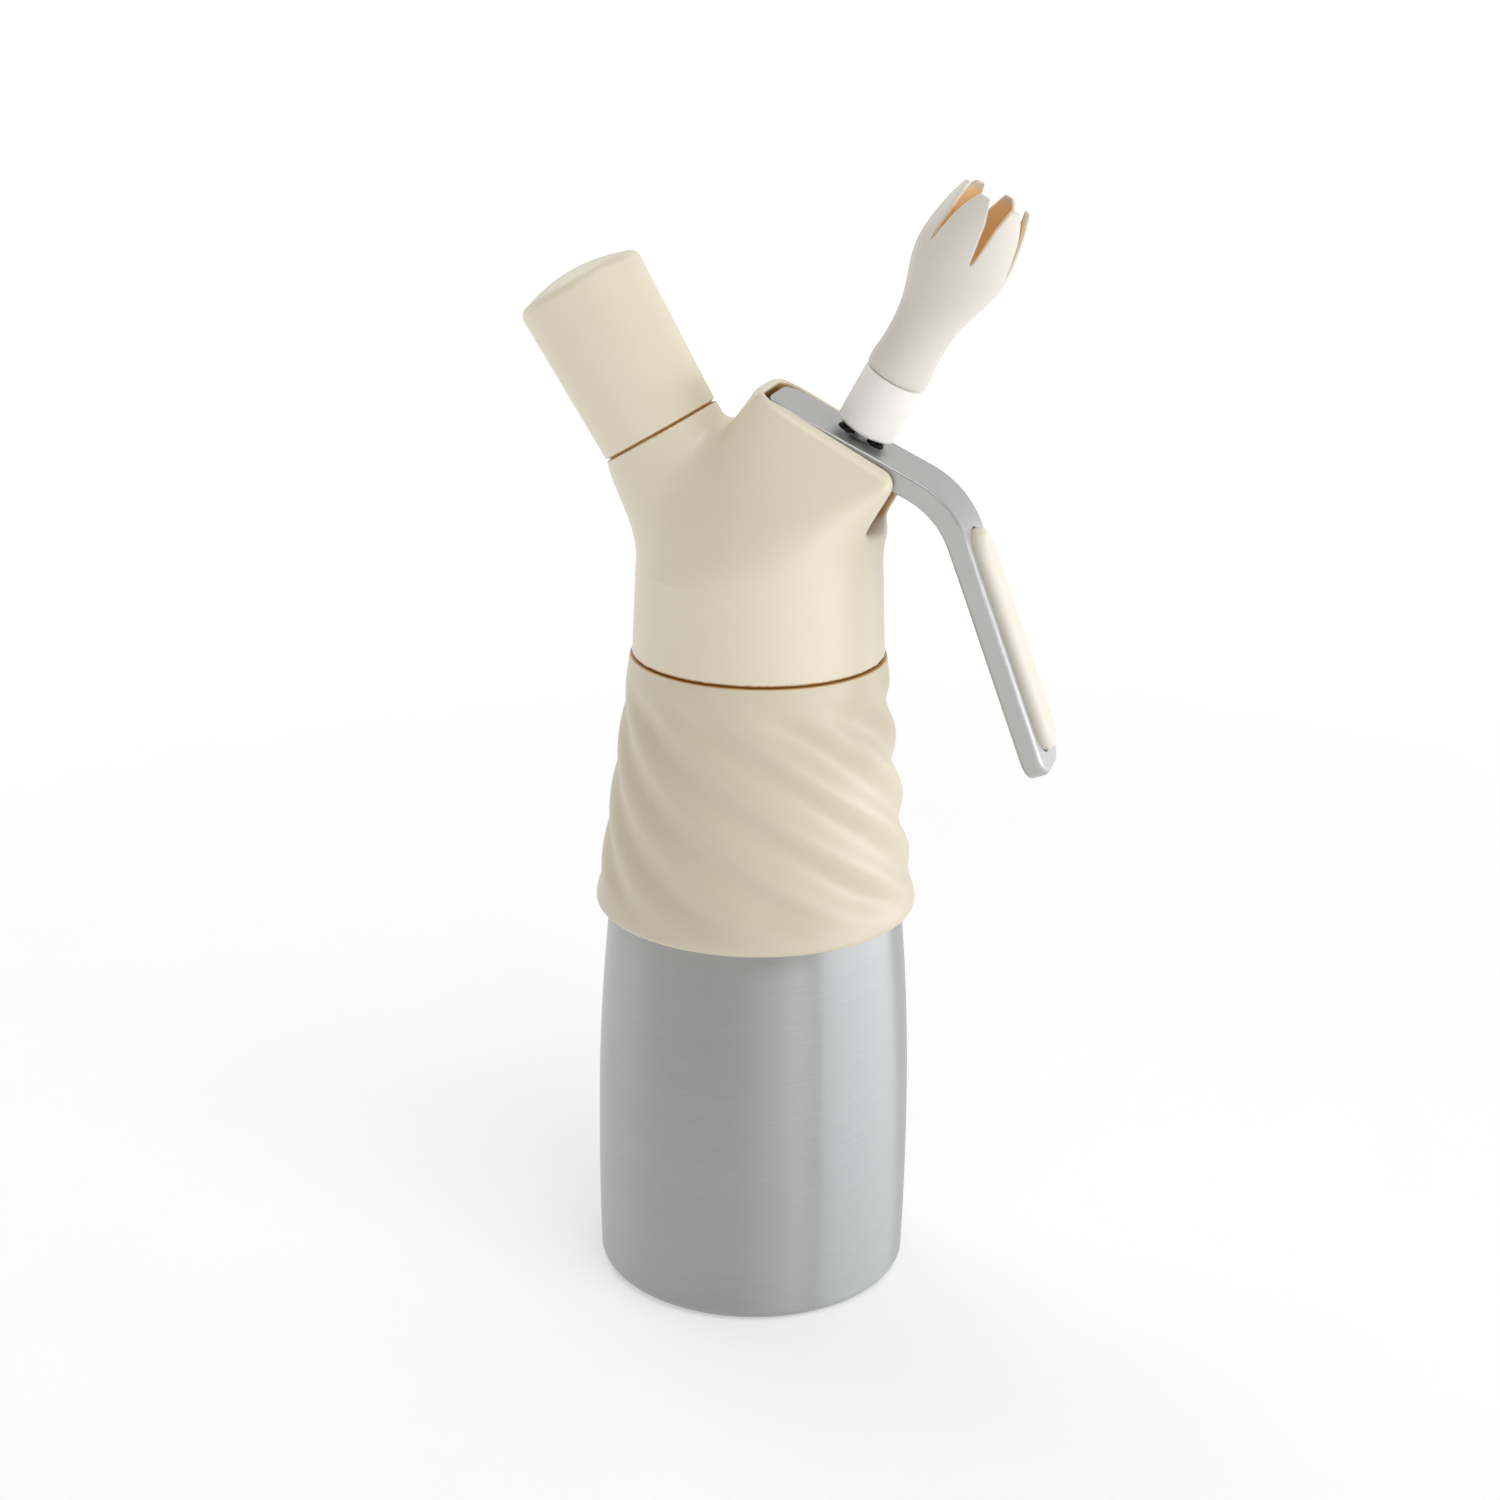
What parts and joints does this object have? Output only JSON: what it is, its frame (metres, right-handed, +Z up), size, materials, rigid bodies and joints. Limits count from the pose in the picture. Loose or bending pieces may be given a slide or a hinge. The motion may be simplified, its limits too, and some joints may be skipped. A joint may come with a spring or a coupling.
{
  "type": "whipped cream dispenser",
  "caption": "Brushed steel cream whipper with beige grip sleeve and Y-shaped screw-on head, squeeze lever, gas charger holder and petal-cut decorating tip.",
  "frame": {"origin": "centre of the bottle's flat base", "axes": "+Z up along the bottle, the decorating tip and the lever lean to +X, the charger holder leans to -X"},
  "size_m": [0.1314, 0.0804, 0.2796],
  "materials": {
    "brushed_steel": "horizontally brushed stainless steel",
    "sleeve_silicone": "matt warm beige silicone",
    "casing": "matt warm beige casing",
    "soft_seal": "grey seal rubber",
    "clear_seal": "milky silicone washer",
    "cast_aluminium": "machined aluminium",
    "plated_brass": "nickel-plated turned brass",
    "lever_metal": "satin light grey aluminium",
    "plain_steel": "turned stainless steel",
    "charger_steel": "drawn steel",
    "pad_silicone": "matt beige silicone",
    "black_steel": "blackened spring steel",
    "ivory_plastic": "smooth ivory plastic"
  },
  "bodies": {
    "bottle": {"bottle": "brushed_steel", "grip_sleeve": "sleeve_silicone"},
    "gasket": {"head_gasket": "soft_seal"},
    "head": {"head_shell": "casing", "head_core": "cast_aluminium", "shell_screws": "plain_steel", "port_spigot": "plain_steel", "piercing_pin": "plain_steel", "pin_seal": "soft_seal", "check_valve": "soft_seal", "valve_seat": "plain_steel", "valve_guide": "plain_steel", "stem_o_ring": "soft_seal", "valve_spring": "plain_steel", "lever_pin": "plain_steel"},
    "charger": {"gas_charger": "charger_steel"},
    "holder": {"charger_holder": "casing", "holder_liner": "plated_brass"},
    "lever": {"lever": "lever_metal", "lever_pad": "pad_silicone"},
    "stem": {"valve_stem": "plain_steel", "valve_seal": "soft_seal", "seal_nut": "plain_steel", "retaining_clip": "black_steel", "nozzle_adapter": "ivory_plastic"},
    "tip_washer": {"tip_seal": "clear_seal"},
    "tip": {"decorating_tip": "ivory_plastic"}
  },
  "joints": [
    {"name": "head_rise", "type": "slide", "parent": "bottle", "child": "gasket", "axis": [0, 0, 1], "range_m": [0, 0.0101]},
    {"name": "head_turn", "type": "hinge", "parent": "gasket", "child": "head", "pos_m": [0, 0, 0.17], "axis": [0, 0, 1], "range_deg": [0, 900]},
    {"name": "charger_rise", "type": "slide", "parent": "head", "child": "charger", "axis": [-0.515, 0, 0.8572], "range_m": [0, 0.0091]},
    {"name": "holder_turn", "type": "hinge", "parent": "charger", "child": "holder", "pos_m": [-0.025, 0, 0.217], "axis": [-0.515, 0, 0.8572], "range_deg": [0, 1440]},
    {"name": "lever_squeeze", "type": "hinge", "parent": "head", "child": "lever", "pos_m": [0.00631, 0, 0.22455], "axis": [0, 1, 0], "range_deg": [0, 6], "stiffness_Nm_per_rad": 2, "springref_deg": -11.46},
    {"name": "stem_press", "type": "slide", "parent": "head", "child": "stem", "axis": [-0.4726, 0, -0.8813], "range_m": [0, 0.0021], "deforming": ["valve_spring"]},
    {"name": "washer_rise", "type": "slide", "parent": "stem", "child": "tip_washer", "axis": [0.4726, 0, 0.8813], "range_m": [0, 0.0061]},
    {"name": "tip_turn", "type": "hinge", "parent": "tip_washer", "child": "tip", "pos_m": [0.03275, 0, 0.23437], "axis": [0.4726, 0, 0.8813], "range_deg": [0, 1440]}
  ],
  "couplings": [
    {"joint": "head_rise", "follows": "head_turn", "m_per_rad": 0.00063662},
    {"joint": "charger_rise", "follows": "holder_turn", "m_per_rad": 0.0003581},
    {"joint": "stem_press", "follows": "lever_squeeze", "m_per_rad": 0.01884},
    {"joint": "washer_rise", "follows": "tip_turn", "m_per_rad": 0.00023873}
  ]
}
